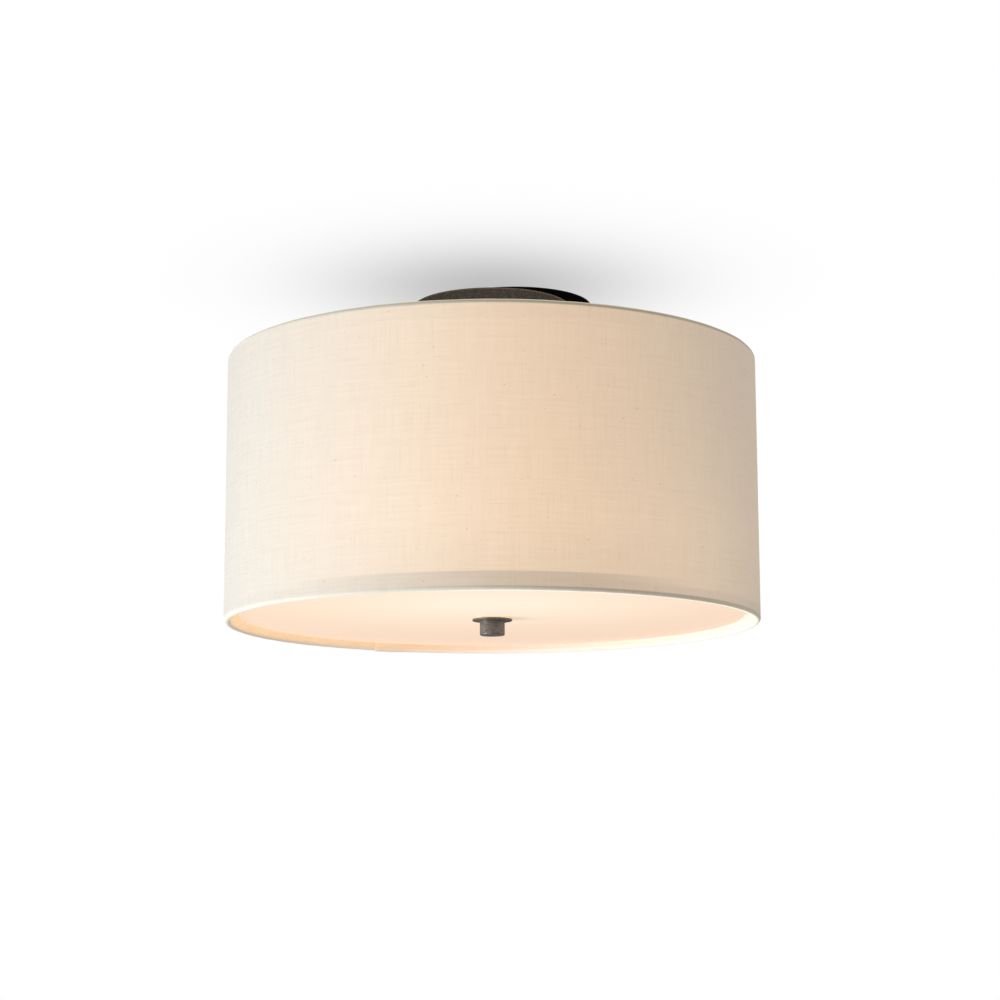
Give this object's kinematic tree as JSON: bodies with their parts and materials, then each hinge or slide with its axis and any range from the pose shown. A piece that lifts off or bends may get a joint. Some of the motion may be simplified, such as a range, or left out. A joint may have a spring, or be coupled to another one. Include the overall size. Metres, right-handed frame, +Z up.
{
  "type": "flush mount ceiling light",
  "caption": "Ceiling light with a short stem from a round canopy, a straight linen drum shade on a wire spider, screw-base bulbs inside and a flat frosted diffuser held by a finial.",
  "frame": {"origin": "centre of the ceiling face, where the canopy's rim and the mounting strap meet the ceiling", "axes": "+Z up into the ceiling along the lamp's axis; X along the mounting strap; -Y is the side the picture shows"},
  "size_m": [0.4063, 0.4064, 0.2568],
  "materials": {
    "pewter_paint": "satin dark pewter paint with a fine mottled speckle",
    "zinc_steel": "zinc-plated steel, threaded and turned",
    "cluster_paint": "white enamel on turned steel",
    "green_paint": "green grounding screw",
    "white_wire": "white-coated steel wire",
    "styrene": "translucent white styrene backing, matte",
    "linen": "natural linen weave with slubs, translucent when lit",
    "opal_acrylic": "frosted opal acrylic, satin",
    "gasket_rubber": "soft translucent silicone rubber",
    "black_insulation": "black lead insulation",
    "white_insulation": "white lead insulation",
    "socket_plastic": "moulded black phenolic",
    "socket_cap_metal": "drawn brass cap, lightly lacquered",
    "shell_metal": "spun aluminium screw shell",
    "contact_brass": "spring brass",
    "solder": "soldered contact",
    "insulator_glass": "black fused glass insulator",
    "frosted_glass": "soft white frosted glass, lit"
  },
  "bodies": {
    "fixture": {"canopy": "pewter_paint", "canopy_ring_nut": "pewter_paint", "stem_sleeve": "pewter_paint", "mounting_strap": "zinc_steel", "strap_lock_nut": "zinc_steel", "stem_tube": "zinc_steel", "spider_lock_nut": "zinc_steel", "cluster_lock_nut": "zinc_steel", "cover_lock_nut": "zinc_steel", "socket_nipples": "zinc_steel", "socket_lock_nuts": "zinc_steel", "lower_tube": "zinc_steel", "stop_washer": "zinc_steel", "stop_nut": "zinc_steel", "cluster_body": "cluster_paint", "cluster_cover": "cluster_paint", "ground_screw": "green_paint", "shade_spider": "white_wire", "bottom_ring": "white_wire", "shade_liner": "styrene", "shade_fabric": "linen", "black_leads": "black_insulation", "white_leads": "white_insulation", "socket_body_1": "socket_plastic", "socket_body_2": "socket_plastic", "socket_body_3": "socket_plastic", "socket_cap_1": "socket_cap_metal", "socket_cap_2": "socket_cap_metal", "socket_cap_3": "socket_cap_metal", "screw_shell_1": "shell_metal", "screw_shell_2": "shell_metal", "screw_shell_3": "shell_metal", "centre_contact_1": "contact_brass", "centre_contact_2": "contact_brass", "centre_contact_3": "contact_brass"},
    "bulb_1": {"bulb_glass_1": "frosted_glass", "bulb_base_1": "shell_metal", "bulb_insulator_1": "insulator_glass", "bulb_tip_1": "solder"},
    "bulb_2": {"bulb_glass_2": "frosted_glass", "bulb_base_2": "shell_metal", "bulb_insulator_2": "insulator_glass", "bulb_tip_2": "solder"},
    "bulb_3": {"bulb_glass_3": "frosted_glass", "bulb_base_3": "shell_metal", "bulb_insulator_3": "insulator_glass", "bulb_tip_3": "solder"},
    "diffuser_set": {"diffuser": "opal_acrylic", "diffuser_gasket": "gasket_rubber", "finial_washer": "pewter_paint"},
    "finial": {"finial": "pewter_paint"}
  },
  "joints": [
    {"name": "bulb_1_turn", "type": "hinge", "parent": "fixture", "child": "bulb_1", "pos_m": [0, 0, -0.09815], "axis": [0, -1, 0], "range_deg": [0, 1080]},
    {"name": "bulb_2_turn", "type": "hinge", "parent": "fixture", "child": "bulb_2", "pos_m": [0, 0, -0.09815], "axis": [0.866, 0.5, 0], "range_deg": [0, 1080]},
    {"name": "bulb_3_turn", "type": "hinge", "parent": "fixture", "child": "bulb_3", "pos_m": [0, 0, -0.09815], "axis": [-0.866, 0.5, 0], "range_deg": [0, 1080]},
    {"name": "diffuser_drop", "type": "slide", "parent": "fixture", "child": "diffuser_set", "axis": [0, 0, -1], "range_m": [0, 0.0075]},
    {"name": "finial_turn", "type": "hinge", "parent": "diffuser_set", "child": "finial", "pos_m": [0, 0, -0.25], "axis": [0, 0, -1], "range_deg": [0, 2870.1]}
  ],
  "couplings": [
    {"joint": "finial_turn", "follows": "diffuser_drop", "rad_per_m": 6679}
  ]
}
